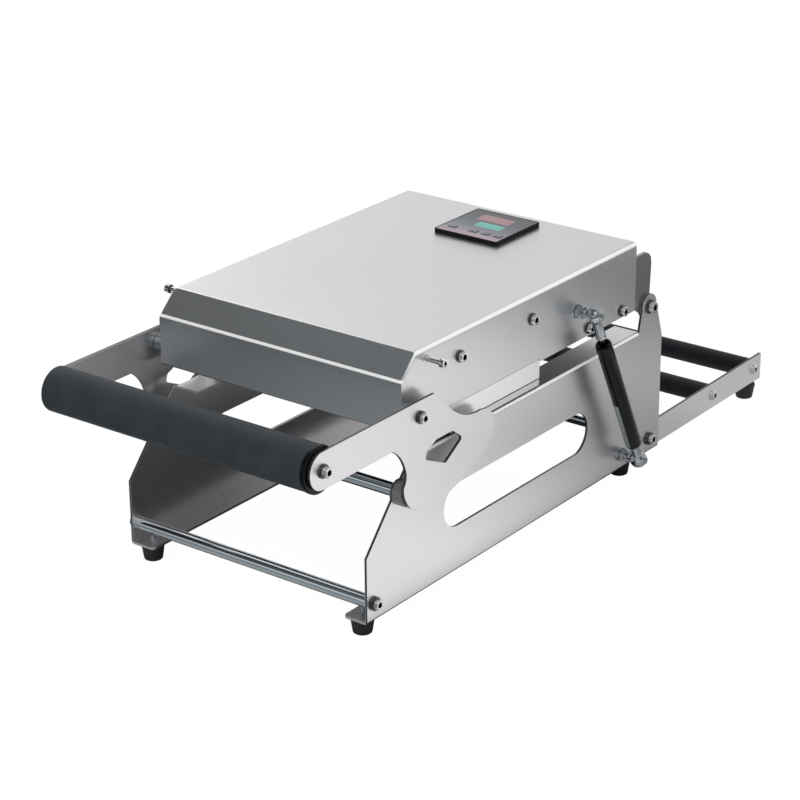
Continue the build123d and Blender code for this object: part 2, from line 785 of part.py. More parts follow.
coil_r = guide_r + spring_gap
with BuildPart() as springs:
    rings = spring_turns + 1
    span = tb_top - press_top
    pitch = (span - 2 * spring_wire) / spring_turns
    for s in sides:
        for d in (guide_y, -guide_y):
            with Locations((s * guide_x, tool_y + d, press_top)):
                Cylinder(coil_r + spring_wire, span, align=low)
                Cylinder(coil_r, span, align=low, mode=Mode.SUBTRACT)
            heights = [press_top + spring_wire + i * pitch for i in range(rings)]
            with Locations(*[(s * guide_x, tool_y + d, z) for z in heights]):
                Torus(coil_r + spring_wire, spring_wire)
            with Locations((s * guide_x, tool_y + d, press_top)):
                Cylinder(coil_r, span, align=low, mode=Mode.SUBTRACT)
keep(springs, "press_springs")

with BuildPart() as bottom_pan:
    box_between(-pan_half, pan_half, tool_rear + pan_gap, head_rear - sheet, pan_z, pan_z + pan_t)
    box_between(-pan_half, pan_half, head_rear - sheet - pan_t, head_rear - sheet,
                pan_z, pan_z + pan_lip)
keep(bottom_pan, "bottom_pan")

# Controller
with BuildPart() as controller_body:
    box_between(-ctl_body / 2, ctl_body / 2, ctl_y - ctl_body / 2, ctl_y + ctl_body / 2,
                pan_z + ctl_room, head_top)
keep(controller_body, "controller_body")

with BuildPart() as controller_bezel:
    with BuildSketch(Plane.XY.offset(head_top)):
        with Locations((0, ctl_y)):
            RectangleRounded(ctl, ctl, ctl_corner)
        with Locations(*[(x, key_y) for x in key_x]):
            Rectangle(key_w + 2 * gap, key_d + 2 * gap, mode=Mode.SUBTRACT)
    extrude(amount=ctl_bezel)
    for x, y, w, d in (win_up, win_low):
        box_between(x - w / 2, x + w / 2, y - d / 2, y + d / 2,
                    head_top + ctl_bezel - disp_t, head_top + ctl_bezel, Mode.SUBTRACT)
keep(controller_bezel, "controller_bezel")

for label, (x, y, w, d) in (("display_upper", win_up), ("display_lower", win_low)):
    with BuildPart() as display:
        box_between(x - w / 2, x + w / 2, y - d / 2, y + d / 2,
                    head_top + ctl_bezel - disp_t, head_top + ctl_bezel)
    keep(display, label)

for number, x in enumerate(key_x, 1):
    with BuildPart() as key:
        box_between(x - key_w / 2, x + key_w / 2, key_y - key_d / 2, key_y + key_d / 2,
                    head_top + key_base, head_top + ctl_bezel + key_stand)
        fillet(key.edges().group_by(Axis.Z)[-1], key_round)
    keep(key, "key_" + str(number))

with BuildPart() as cable_gland:
    with Locations(Location((gland_x, head_rear, gland_z), (-90, 0, 0))):
        Cylinder(gland_r, gland_tail, align=high_end)
        Cylinder(gland_cap_r, gland_cap_h, align=low)
        Cylinder(gland_seal_r, gland_seal_h, align=low)
    with BuildSketch(Plane(origin=(gland_x, head_rear, gland_z), z_dir=(0, 1, 0))):
        RegularPolygon(gland_hex, 6)
    extrude(amount=gland_h)
    with BuildSketch(Plane(origin=(gland_x, head_rear - sheet, gland_z), z_dir=(0, -1, 0))):
        RegularPolygon(gland_nut, 6)
    extrude(amount=gland_nut_h)
keep(cable_gland, "cable_gland")

# Lever pivots on the head
with BuildPart() as pivot_studs:
    for side in sides:
        with Locations(outward(body_half, pivot_y, pivot_z, side)):
            Cylinder(spacer_r, spacer_end - body_half, align=low)
        cap_screw(arm_out + gap, pivot_y, pivot_z, side, spacer_end, shoulder_r)
keep(pivot_studs, "pivot_studs")

# Lever arms
top_z = handle_z + arm_half
low_arm = handle_z - arm_half
heel = [(20.5, top_z - pivot_z), (28.3, 8.1), (42.4, -6.0), (59.0, -17.8), (73.6, -22.6), (85.7, -23.5)]
lobe = [(85.7, -23.5), (95.7, -25.2), (103.8, -30.8), (107.8, -39.4), (106.6, -48.4), (100.3, -56.9),
        (89.7, -65.2), (71.6, -74.4), (54.5, -80.3), (33.3, -84.6), (14.2, -85.4), (-3.0, -83.6),
        (-14.0, -78.6), (-19.6, -71.6), (-22.9, -64.1), (-23.2, -57.0)]
recess = [(-23.2, -57.0), (-19.5, -46.4), (-22.3, -36.4), (-28.6, -26.3), (-38.2, low_arm - pivot_z)]
window = [(45.9, -28.2), (61.0, -39.4), (35.8, -54.7), (6.6, -41.3), (9.1, -33.8), (22.7, -28.2)]
heel, lobe, recess, window = (
    [(pivot_y + y, pivot_z + z) for y, z in row] for row in (heel, lobe, recess, window))
for side, word in named_sides:
    with BuildPart() as arm:
        start = arm_in if side > 0 else -arm_out
        with BuildSketch(Plane.YZ.offset(start)):
            with BuildLine():
                Line((handle_y, top_z), heel[0])
                Spline(*heel)
                Spline(*lobe)
                Spline(*recess)
                Line(recess[-1], (handle_y, low_arm))
                ThreePointArc((handle_y, low_arm), (handle_y - arm_half, handle_z), (handle_y, top_z))
            make_face()
            with Locations((pivot_y, pivot_z)):
                Circle(shoulder_r + run_gap, mode=Mode.SUBTRACT)
            with Locations((handle_y, handle_z)):
                Circle(m6_r + bolt_gap, mode=Mode.SUBTRACT)
        extrude(amount=arm_t)
        with BuildSketch(Plane.YZ.offset(start)) as opening:
            Polygon(*window, align=None)
            fillet(opening.vertices(), window_round)
        extrude(amount=arm_t, mode=Mode.SUBTRACT)
    keep(arm, "lever_arm_" + word)

# Handle bar
with BuildPart() as handle_core:
    with Locations(Location((0, handle_y, handle_z), (0, 90, 0))):
        Cylinder(core_r, 2 * arm_in, align=mid)
        Cylinder(core_r - core_wall, 2 * (arm_in - core_plug), align=mid, mode=Mode.SUBTRACT)
        Cylinder(m6_r + bolt_gap, 2 * arm_in, align=mid, mode=Mode.SUBTRACT)
keep(handle_core, "handle_core")

with BuildPart() as handle_screws:
    for side in sides:
        cap_screw(arm_out, handle_y, handle_z, side, arm_in - core_plug + plug_screw, washer=washer_r)
keep(handle_screws, "handle_screws")

with BuildPart() as handle_grip:
    with Locations(outward(-grip_left, handle_y, handle_z, 1)):
        Cylinder(grip_r, grip_left + grip_right, align=low)
        Cylinder(core_r + run_gap, grip_left + grip_right, align=low, mode=Mode.SUBTRACT)
keep(handle_grip, "handle_grip")

# a thick end ring on the right, a thin end cap on the left
with BuildPart() as grip_rings:
    for side, start, thick in ((1, grip_right, ring_len), (-1, grip_left, end_cap_len)):
        disc(start, handle_y, handle_z, side, ring_r if side > 0 else grip_r, core_r + run_gap, thick)
    fillet(grip_rings.edges().filter_by(GeomType.CIRCLE).filter_by(lambda e: e.radius > grip_r), ring_round)
keep(grip_rings, "grip_rings")

# Gas struts
strut_dy = top_ball[0] - low_ball[0]
strut_dz = top_ball[1] - low_ball[1]
strut_len = math.hypot(strut_dy, strut_dz)
tube_to = strut_len - rod_from - rod_bare
rod_to = strut_len - piston_end
for side, word in named_sides:
    up = Plane(origin=(side * strut_x, low_ball[0], low_ball[1]), z_dir=(0, strut_dy, strut_dz))
    down = Plane(origin=(side * strut_x, top_ball[0], top_ball[1]), z_dir=(0, -strut_dy, -strut_dz))
    with BuildPart() as strut_tube:
        with Locations(up):
            with Locations((0, 0, tube_from)):
                Cylinder(tube_r, tube_to - tube_from, align=low)
            with Locations((0, 0, tube_from + tube_floor)):
                Cylinder(tube_in, tube_to - guide_h - tube_from - tube_floor, align=low,
                         mode=Mode.SUBTRACT)
                Cylinder(strut_rod_r + guide_gap, tube_to - tube_from, align=low, mode=Mode.SUBTRACT)
    keep(strut_tube, "strut_tube_" + word)
    with BuildPart() as strut_rod:
        with Locations(down):
            with Locations((0, 0, rod_from)):
                Cylinder(strut_rod_r, rod_to - rod_from, align=low)
            with Locations((0, 0, rod_to - piston_h)):
                Cylinder(piston_r, piston_h, align=low)
    keep(strut_rod, "strut_rod_" + word)
    for label, place, end in (("socket_low_" + word, up, tube_from), ("socket_top_" + word, down, rod_from)):
        with BuildPart() as socket:
            with Locations(place):
                Sphere(socket_r)
                Cylinder(neck_r, end, align=low)
                Sphere(ball_r + run_gap, mode=Mode.SUBTRACT)
            with Locations(outward(strut_x, place.origin.Y, place.origin.Z, side)):
                Cylinder(stud_neck + neck_room, socket_r, align=high_end, mode=Mode.SUBTRACT)
        keep(socket, label)

for label, (y, z) in (("ball_studs_low", low_ball), ("ball_studs_top", top_ball)):
    with BuildPart() as ball_studs:
        for side in sides:
            with Locations(outward(strut_x, y, z, side)):
                Sphere(ball_r)
            with Locations(outward(body_half, y, z, side)):
                Cylinder(stud_neck, strut_x - body_half, align=low)
                Cylinder(m6_r, sheet + nut_h + thread_end, align=high_end)
            with BuildSketch(Plane(origin=(side * body_half, y, z), z_dir=(side, 0, 0))):
                RegularPolygon(stud_hex, 6)
            extrude(amount=stud_hex_h)
            hex_nut(web_in, y, z, side, nut_h, m6_r, nut_r)
    keep(ball_studs, label)

print(len(made), "nodes")
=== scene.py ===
import json
import math

import bmesh
import bpy
from mathutils import Matrix, Vector

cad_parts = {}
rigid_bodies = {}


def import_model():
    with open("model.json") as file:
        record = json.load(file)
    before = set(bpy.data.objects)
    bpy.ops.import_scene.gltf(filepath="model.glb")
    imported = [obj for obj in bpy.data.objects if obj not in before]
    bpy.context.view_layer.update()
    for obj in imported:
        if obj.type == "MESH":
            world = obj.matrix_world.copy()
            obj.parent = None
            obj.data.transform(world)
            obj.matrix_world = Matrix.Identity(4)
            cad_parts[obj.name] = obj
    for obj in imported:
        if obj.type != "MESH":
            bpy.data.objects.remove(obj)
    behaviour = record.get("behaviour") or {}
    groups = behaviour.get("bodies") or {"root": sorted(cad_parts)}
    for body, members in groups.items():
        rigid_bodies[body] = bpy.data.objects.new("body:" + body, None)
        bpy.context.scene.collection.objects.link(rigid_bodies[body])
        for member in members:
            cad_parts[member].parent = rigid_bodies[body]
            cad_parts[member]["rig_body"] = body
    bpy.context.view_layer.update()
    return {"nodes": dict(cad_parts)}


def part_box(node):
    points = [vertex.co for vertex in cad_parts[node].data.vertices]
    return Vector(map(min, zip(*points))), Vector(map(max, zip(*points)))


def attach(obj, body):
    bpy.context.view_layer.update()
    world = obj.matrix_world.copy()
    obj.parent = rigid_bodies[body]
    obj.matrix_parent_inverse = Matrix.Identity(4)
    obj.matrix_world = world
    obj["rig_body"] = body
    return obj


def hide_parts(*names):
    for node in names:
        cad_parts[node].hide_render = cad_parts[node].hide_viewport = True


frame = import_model()
nodes = frame["nodes"]
BODY = {name: node["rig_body"] for name, node in nodes.items()}
MM = 0.001
SIDES = (1, -1)

for leftover in ("Cube", "Light", "Camera"):
    if leftover in bpy.data.objects:
        bpy.data.objects.remove(bpy.data.objects[leftover])


# node graphs

class Graph:
    """A small helper that builds nodes in one tree."""

    def __init__(self, tree):
        self.tree = tree

    def add(self, kind, **values):
        node = self.tree.nodes.new(kind)
        for key, value in values.items():
            setattr(node, key, value)
        return node

    def link(self, source, target):
        self.tree.links.new(source, target)

    def fill(self, socket, value):
        """Gives a socket a number, a colour or another node's output."""
        if isinstance(value, (int, float)):
            socket.default_value = value
        elif isinstance(value, tuple):
            socket.default_value = (*value, 1)
        else:
            self.link(value, socket)

    def noise(self, scale, stretch=(1, 1, 1), detail=2.0, roughness=0.5):
        place = self.add("ShaderNodeTexCoord")
        mapping = self.add("ShaderNodeMapping")
        mapping.inputs["Scale"].default_value = stretch
        texture = self.add("ShaderNodeTexNoise")
        texture.inputs["Scale"].default_value = scale
        texture.inputs["Detail"].default_value = detail
        texture.inputs["Roughness"].default_value = roughness
        self.link(place.outputs["Object"], mapping.inputs["Vector"])
        self.link(mapping.outputs["Vector"], texture.inputs["Vector"])
        return texture.outputs["Fac"]

    def ramp(self, factor, stops):
        """A colour for each position; a stop is (position, colour or grey level)."""
        ramp = self.add("ShaderNodeValToRGB")
        stops = [(position, color if isinstance(color, tuple) else (color,) * 3) for position, color in stops]
        elements = ramp.color_ramp.elements
        elements[0].position, elements[1].position = stops[0][0], stops[-1][0]
        elements[0].color, elements[1].color = (*stops[0][1], 1), (*stops[-1][1], 1)
        for position, color in stops[1:-1]:
            elements.new(position).color = (*color, 1)
        self.link(factor, ramp.inputs["Fac"])
        return ramp.outputs["Color"]

    def span(self, factor, low, high):
        """Low to high while the factor goes from 0 to 1."""
        node = self.add("ShaderNodeMapRange")
        node.inputs["To Min"].default_value = low
        node.inputs["To Max"].default_value = high
        self.link(factor, node.inputs["Value"])
        return node.outputs["Result"]

    def rise(self, value, start, end, low=0.0, high=1.0):
        """Low to high, smoothly, while the value goes from start to end."""
        node = self.add("ShaderNodeMapRange", interpolation_type="SMOOTHSTEP")
        for name, number in (("From Min", start), ("From Max", end), ("To Min", low), ("To Max", high)):
            node.inputs[name].default_value = number
        self.link(value, node.inputs["Value"])
        return node.outputs["Result"]

    def within(self, value, low, high, soft):
        """1 between low and high, and 0 outside."""
        return self.math("MULTIPLY", self.rise(value, low - soft, low + soft),
                         self.rise(value, high - soft, high + soft, 1.0, 0.0))

    def math(self, operation, *values):
        node = self.add("ShaderNodeMath", operation=operation)
        for socket, value in zip(node.inputs, values):
            self.fill(socket, value)
        return node.outputs[0]

    def parts(self, output):
        """X, Y and Z of one of the texture coordinates."""
        place = self.add("ShaderNodeTexCoord")
        split = self.add("ShaderNodeSeparateXYZ")
        self.link(place.outputs[output], split.inputs[0])
        return split.outputs[:]

    def mixed(self, factor, first, second):
        """A number between two numbers or outputs."""
        mix = self.add("ShaderNodeMix", data_type="FLOAT")
        for name, value in (("Factor", factor), ("A", first), ("B", second)):
            self.fill(mix.inputs[name], value)
        return mix.outputs["Result"]

    def blend(self, factor, first, second):
        """A colour between two colours or outputs."""
        mix = self.add("ShaderNodeMix", data_type="RGBA")
        for socket, value in ((mix.inputs["Factor"], factor), (mix.inputs[6], first), (mix.inputs[7], second)):
            self.fill(socket, value)
        return mix.outputs[2]


class Look(Graph):
    """A material that starts as one Principled shader."""

    def __init__(self, name, color, roughness, metallic=0.0, specular=0.5):
        self.material = bpy.data.materials.new(name)
        self.material.use_nodes = True
        super().__init__(self.material.node_tree)
        self.shader = self.tree.nodes["Principled BSDF"]
        for socket, value in (("Base Color", color), ("Roughness", roughness), ("Metallic", metallic),
                              ("Specular IOR Level", specular)):
            self.set(socket, value)

    def set(self, socket, value):
        self.fill(self.shader.inputs[socket], value)

    def varied(self, factor, color, spread):
        """The colour, from darker to lighter by the spread."""
        darker, lighter = (tuple(min(1.0, channel * share) for channel in color)
                           for share in (1 - spread, 1 + spread))
        return self.ramp(factor, [(0.3, darker), (0.7, lighter)])

    def bump(self, height, strength, distance):
        bump = self.add("ShaderNodeBump")
        bump.inputs["Strength"].default_value = strength
        bump.inputs["Distance"].default_value = distance
        self.link(height, bump.inputs["Height"])
        self.set("Normal", bump.outputs["Normal"])


# materials; lengths in metres

# painted highlight: the bends turn white and almost not metallic
BEND_HIGHLIGHT = (1.0, 1.0, 1.0)
# painted shade on faces and bends turned down
UNDERSIDE_SHADE = (0.22, 0.215, 0.21)
# cut faces: partly their own darker cut finish, partly painted shade
CUT_FINISH_AND_SHADE = (0.16, 0.155, 0.15)
CUT_ROUGHER = 0.2
BEND_HIGHLIGHT_METALLIC = 0.1
GLOSS_SPREAD = 0.05
GRAIN_DEPTH = 0.0002


def brushed(name, color, roughness, grain, spread, rough_spread, strength, front_bend=None, cut_faces=()):
    """Brushed stainless steel, its fine lines running along the axis with the small number in grain.

    The bends get a painted highlight and faces turned down get painted shade; cut faces, found by how far out they
    lie, are darker and rougher, partly their own cut finish and partly painted shade.
    """
    graph = Look(name, color, roughness, metallic=1.0)
    lines = graph.noise(1.0, grain, detail=3.0, roughness=0.6)
    both = graph.mixed(0.35, lines, graph.noise(6.0))
    tint = graph.varied(both, color, spread)
    rough = graph.span(both, roughness - rough_spread, roughness + rough_spread)
    facing_x, facing_y, facing_z = graph.parts("Normal")
    sideways = graph.math("ABSOLUTE", facing_x)
    # painted highlight on the bends between the sides and the top, found by the normal
    bend = graph.math("MULTIPLY", sideways, graph.math("MAXIMUM", facing_z, 0.0))
    bend = graph.rise(bend, 0.22, 0.42)
    if front_bend:
        # painted highlight band along the cover's front bend
        height = graph.parts("Object")[2]
        band = graph.within(height, front_bend - 0.0015, front_bend + 0.0011, 0.0003)
        ahead = graph.math("MULTIPLY", band, graph.rise(facing_y, -0.3, -0.5))
        bend = graph.math("MAXIMUM", bend, ahead)
    tint = graph.blend(bend, tint, BEND_HIGHLIGHT)
    # painted shade on faces and bends turned down
    tint = graph.blend(graph.rise(facing_z, -0.15, -0.45), tint, UNDERSIDE_SHADE)
    if cut_faces:
        distance = graph.math("ABSOLUTE", graph.parts("Object")[0])
        on_edge = graph.rise(sideways, 0.5, 0.3)
    for low, high in cut_faces:
        cut = graph.math("MULTIPLY", graph.within(distance, low, high, 0.0001), on_edge)
        # darker cut face: partly its own cut finish, partly painted shade
        tint = graph.blend(cut, tint, CUT_FINISH_AND_SHADE)
        rough = graph.math("ADD", rough, graph.math("MULTIPLY", cut, CUT_ROUGHER))
    graph.set("Base Color", tint)
    graph.set("Roughness", rough)
    graph.set("Metallic", graph.span(bend, 1.0, BEND_HIGHLIGHT_METALLIC))
    graph.bump(lines, strength, GRAIN_DEPTH)
    return graph.material


def mottled(name, color, roughness, metallic=0.0, scale=300.0, spread=0.08, strength=0.1, specular=0.5):
    """An even surface with a fine variation of colour, gloss and height."""
    graph = Look(name, color, roughness, metallic, specular)
    fine = graph.noise(scale, detail=3.0)
    both = graph.mixed(0.5, fine, graph.noise(scale / 25))
    graph.set("Base Color", graph.varied(both, color, spread))
    graph.set("Roughness", graph.span(both, max(0.02, roughness - GLOSS_SPREAD), min(1.0, roughness + GLOSS_SPREAD)))
    graph.bump(fine, strength, GRAIN_DEPTH)
    return graph.material


def plate_steel(name, color, cut_faces=()):
    return brushed(name, color, 0.34, (900, 8, 1500), 0.012, 0.02, 0.008, cut_faces=cut_faces)


# how far from the middle the cut faces of the sheets lie
WEB_EDGE = (0.1328, 0.1360)
ARM_EDGE = (0.1440, 0.1480)
RAIL_EDGE = (0.1285, 0.1330)
BEVEL_DROP = 0.0203

steel = plate_steel("steel_brushed", (0.70, 0.685, 0.69), (WEB_EDGE, ARM_EDGE))
steel_rail = plate_steel("steel_rail", (0.92, 0.905, 0.91), (RAIL_EDGE,))
# the plate steel at half brightness for the hinge brackets: painted shade
shaded_steel_bracket = plate_steel("shaded_steel_bracket", (0.34, 0.33, 0.335))
steel_cover = brushed("steel_cover", (0.70, 0.705, 0.71), 0.33, (1500, 10, 10), 0.045, 0.035, 0.03,
                      front_bend=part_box("head_cover")[1][2] - BEVEL_DROP)
screw = mottled("screw_steel_look", (0.62, 0.61, 0.60), 0.13, 1.0, 500, 0.15, 0.05)
chrome = mottled("chrome_look", (0.36, 0.385, 0.41), 0.04, 1.0, 200, 0.05, 0.02)
bar = mottled("bar_look", (0.74, 0.78, 0.81), 0.13, 1.0, 200, 0.05, 0.02)
bush_grey = mottled("bush_look", (0.20, 0.205, 0.205), 0.45, 0.4, 700, 0.3, 0.3)
rubber = mottled("rubber_look", (0.012, 0.012, 0.013), 0.55, 0.0, 700, 0.2, 0.15)
foam = mottled("foam_look", (0.031, 0.040, 0.048), 0.6, 0.0, 1300, 0.22, 0.15, specular=0.2)
gloss = mottled("gloss_black_look", (0.003, 0.003, 0.003), 0.3, 0.0, 300, 0.1, 0.02, specular=0.15)
paint = mottled("black_paint_look", (0.002, 0.002, 0.0024), 0.10, 0.0, 500, 0.15, 0.02, specular=0.16)
aluminium = mottled("aluminium_look", (0.86, 0.86, 0.87), 0.3, 1.0, 600, 0.03, 0.04)
pad = mottled("insulation_look", (0.72, 0.68, 0.60), 0.9, 0.0, 500, 0.1, 0.4)
silicone = mottled("silicone_look", (0.45, 0.10, 0.06), 0.45, 0.0, 500, 0.08, 0.05)
roller = mottled("roller_look", (0.010, 0.012, 0.015), 0.5, 0.0, 700, 0.15, 0.06, specular=0.2)
plastic = mottled("plastic_look", (0.014, 0.014, 0.015), 0.35, 0.0, 900, 0.12, 0.1)
window_red = mottled("window_red_look", (0.33, 0.16, 0.18), 0.12, 0.0, 200, 0.08, 0.02)
window_green = mottled("window_green_look", (0.08, 0.44, 0.37), 0.12, 0.0, 200, 0.08, 0.02)
key_grey = mottled("key_look", (0.13, 0.13, 0.16), 0.3, 0.0, 700, 0.1, 0.08)
dark_metal = mottled("dark_washer_look", (0.10, 0.098, 0.095), 0.3, 1.0, 700, 0.2, 0.1)
# near black inside the hexagon sockets: painted shade in the recess
socket_shade = mottled("socket_black_look", (0.004, 0.004, 0.004), 0.5, 0.0, 700, 0.2, 0.05, specular=0.2)
zinc = mottled("zinc_look", (0.38, 0.40, 0.43), 0.16, 1.0, 260, 0.25, 0.1)
label_silver = mottled("label_look", (0.26, 0.30, 0.31), 0.42, 0.5, 900, 0.3, 0.05)


def controller_face():
    """Black moulded rim round a smoked blue-grey front."""
    rim, soft = 0.0014, 0.0003
    graph = Look("controller_face", (0.02, 0.02, 0.02), 0.2)
    low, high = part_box("controller_bezel")
    x, y, _ = graph.parts("Object")
    facing_up = graph.rise(graph.parts("Normal")[2], 0.8, 0.95)
    face = graph.math("MULTIPLY", graph.within(x, low[0] + rim, high[0] - rim, soft),
                      graph.within(y, low[1] + rim, high[1] - rim, soft))
    face = graph.math("MULTIPLY", face, facing_up)
    smoke = graph.ramp(graph.rise(y, low[1], high[1]), [
        (0.0, (0.38, 0.27, 0.32)), (0.10, (0.22, 0.20, 0.25)), (0.3, (0.11, 0.13, 0.155)),
        (0.6, (0.055, 0.065, 0.08)), (1.0, (0.02, 0.022, 0.026))])
    fine = graph.noise(900.0, detail=3.0)
    graph.set("Base Color", graph.blend(face, (0.003, 0.003, 0.003), smoke))
    graph.set("Roughness", graph.math("ADD", graph.span(fine, -0.03, 0.03), graph.rise(face, 0.0, 1.0, 0.85, 0.2)))
    graph.bump(fine, 0.03, 0.0001)
    return graph.material


LOOKS = {
    "steel_sheet": steel, "screw_steel": screw, "chrome_bar": chrome, "grey_bush": bush_grey,
    "black_rubber": rubber, "grip_foam": foam, "gloss_black": gloss, "black_paint": paint,
    "aluminium": aluminium, "insulation": pad, "seal_silicone": silicone, "roller_grey": roller,
    "dark_plastic": plastic, "display_red": window_red, "display_green": window_green, "key_grey": key_grey,
}
for node in nodes.values():
    for held in node.material_slots:
        held.material = LOOKS[held.material.name.split(".")[0]]
for name, look in (
        ("head_cover", steel_cover), ("cradle_rail_left", steel_rail), ("cradle_rail_right", steel_rail),
        ("controller_bezel", controller_face()), ("cross_rods", bar), ("foot_studs", bar),
        ("hinge_bracket_left", shaded_steel_bracket), ("hinge_bracket_right", shaded_steel_bracket)):
    nodes[name].material_slots[0].material = look


# thin bright edges on the cut sheets

EDGE_WIDTH = 0.0003


def soften(node):
    weld = node.modifiers.new("weld", "WELD")
    weld.merge_threshold = 0.00001
    flat = node.modifiers.new("flat", "DECIMATE")
    flat.decimate_type = "DISSOLVE"
    flat.angle_limit = math.radians(0.5)
    bevel = node.modifiers.new("edge", "BEVEL")
    bevel.width = EDGE_WIDTH
    bevel.segments = 2
    bevel.limit_method = "ANGLE"
    bevel.angle_limit = math.radians(40)
    bevel.harden_normals = True


for name in ("frame_plate_left", "frame_plate_right", "lever_arm_left", "lever_arm_right",
             "cradle_rail_left", "cradle_rail_right", "head_cover", "tool_frame", "mould_plate",
             "hinge_bracket_left", "hinge_bracket_right"):
    soften(nodes[name])


# detail pieces in mesh code; sizes in millimetres until they are placed

# distances from the middle
BODY_HALF = 134.7
WEB_IN = 132.2
TOOL_BRACKET_IN = 129.7
HINGE_BRACKET_IN = 128.9
BUSH_OUT = 137.7
ARM_OUT = 147.5
PIVOT_SEAT = 147.8
STOP_NECK = 150.2
STRUT_X = 155.0

# spots are pairs: distance behind the front of the frame, and height
FRONT = -289.1
LOW_RODS = ((9.5, 32.5), (446.4, 30.5))
HIGH_ROD = (46.5, 122.8)
ROLLERS = ((573.0, 32.765), (655.0, 34.232))
BRACKET_SCREWS = ((334.0, 180.5), (391.0, 180.0))
TOOL_SCREWS = ((133.0, 217.7), (242.0, 217.7))
HINGE = (441.0, 169.0)
PIVOT = (59.0, 189.7)
HANDLE = (-71.0, 188.0)
STOP = (84.0, 231.5)
LOW_BALL = (396.0, 32.0)
TOP_BALL = (312.5, 204.0)
GLAND = (414.6, 197.0)
TOOL_MIDDLE = 187.5

# shank radii
M5 = 2.5
M6 = 3.0
SHOULDER = 4.0


def point(side, x, spot):
    return Vector((side * x, FRONT + spot[0], spot[1]))


def outward(side, x, spot):
    """A place on the side of the machine, its own Z pointing away from the middle."""
    turn = Vector((side, 0, 0)).to_track_quat("Z", "Y").to_matrix().to_4x4()
    return Matrix.Translation(point(side, x, spot)) @ turn


def along(start, end):
    """A place at start, its own Z pointing to end."""
    turn = (end - start).to_track_quat("Z", "X").to_matrix().to_4x4()
    return Matrix.Translation(start) @ turn


def hexagon(flat):
    """Radius of a hexagon, with this half width over its flats, at an angle."""
    return lambda angle: flat / math.cos((angle + math.pi / 6) % (math.pi / 3) - math.pi / 6)


def knurl(radius, depth, count):
    """Radius of a circle with this many grooves, at an angle."""
    return lambda angle: radius - depth * (0.5 + 0.5 * math.cos(count * angle))


class Builder:
    """Collects turned and swept shapes into one piece that rides on a body."""

    def __init__(self, name, body, looks):
        self.name, self.body, self.looks = name, body, looks
        self.mesh = bmesh.new()

    def vertex(self, at):
        return self.mesh.verts.new(at * MM)

    def ring(self, place, radius, height, segments):
        """Vertices round the place's Z; the radius is a number or depends on the angle."""
        ring = []
        for i in range(segments):
            angle = 2 * math.pi * i / segments
            r = radius(angle) if callable(radius) else radius
            ring.append(self.vertex(place @ Vector((r * math.cos(angle), r * math.sin(angle), height))))
        return ring

    def skin(self, rings, look):
        """Faces between each ring and the next; a ring of one vertex closes the end."""
        for one, two in zip(rings, rings[1:]):
            count = max(len(one), len(two))
            for i in range(count):
                j = (i + 1) % count
                corners = [one[i % len(one)], one[j % len(one)], two[j % len(two)], two[i % len(two)]]
                corners = list(dict.fromkeys(corners))
                if len(corners) > 2:
                    self.mesh.faces.new(corners).material_index = look

    def turned(self, profile, place, look=0, segments=48):
        """A profile of (radius or radius by angle, height) turned round the place's Z."""
        rings = []
        for radius, height in profile:
            if radius == 0:
                rings.append([self.vertex(place @ Vector((0, 0, height)))])
            else:
                rings.append(self.ring(place, radius, height, segments))
        self.skin(rings, look)

    def swept(self, points, radius, look=0, segments=12):
        """A round wire along points."""
        rings = []
        for i, at in enumerate(points):
            ahead = points[min(i + 1, len(points) - 1)] - points[max(i - 1, 0)]
            place = Matrix.Translation(at) @ ahead.to_track_quat("Z", "Y").to_matrix().to_4x4()
            rings.append(self.ring(place, radius, 0, segments))
        self.skin([[self.vertex(points[0])]] + rings + [[self.vertex(points[-1])]], look)

    def finish(self, *replaced, slot="aluminium", angle=32.0):
        """Makes the object and hides the nodes that it replaces; slot is not used."""
        bmesh.ops.remove_doubles(self.mesh, verts=self.mesh.verts, dist=1e-7)
        bmesh.ops.recalc_face_normals(self.mesh, faces=self.mesh.faces)
        mesh = bpy.data.meshes.new(self.name)
        self.mesh.to_mesh(mesh)
        self.mesh.free()
        for look in self.looks:
            mesh.materials.append(look)
        mesh.shade_smooth()
        mesh.set_sharp_from_angle(angle=math.radians(angle))
        piece = bpy.data.objects.new(self.name, mesh)
        bpy.context.scene.collection.objects.link(piece)
        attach(piece, self.body)
        if replaced:
            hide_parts(*replaced)


# screws, nuts and pins

SCREW_LOOKS = (screw, dark_metal, socket_shade)
PLAIN, DARK, SHADED_SOCKET, BRIGHT = range(4)
FINE = 72  # segments of a shape with flats or grooves


def cap_head(build, place, radius=4.6, high=5.6, base=5.9, base_high=1.5, socket=2.5):
    """Socket head with a knurled rim on a lock washer."""
    rim = knurl(radius, 0.16, 24)
    build.turned([(0, 0), (base, 0), (base, base_high - 0.25), (base - 0.25, base_high), (0, base_high)],
                 place, DARK)
    build.turned([(radius - 0.35, base_high), (radius - 0.35, base_high + 0.3), (radius, base_high + 0.5),
                  (rim, base_high + 0.9), (rim, high - 0.9), (radius, high - 0.6), (radius - 0.5, high),
                  (socket + 0.6, high)], place, PLAIN, FINE)
    build.turned([(socket + 0.6, high), (hexagon(socket), high - 0.25)], place, PLAIN, FINE)
    # the inside of the socket is painted shade
    build.turned([(hexagon(socket), high - 0.25), (hexagon(socket), high - 3.0), (0, high - 3.4)],
                 place, SHADED_SOCKET, FINE)


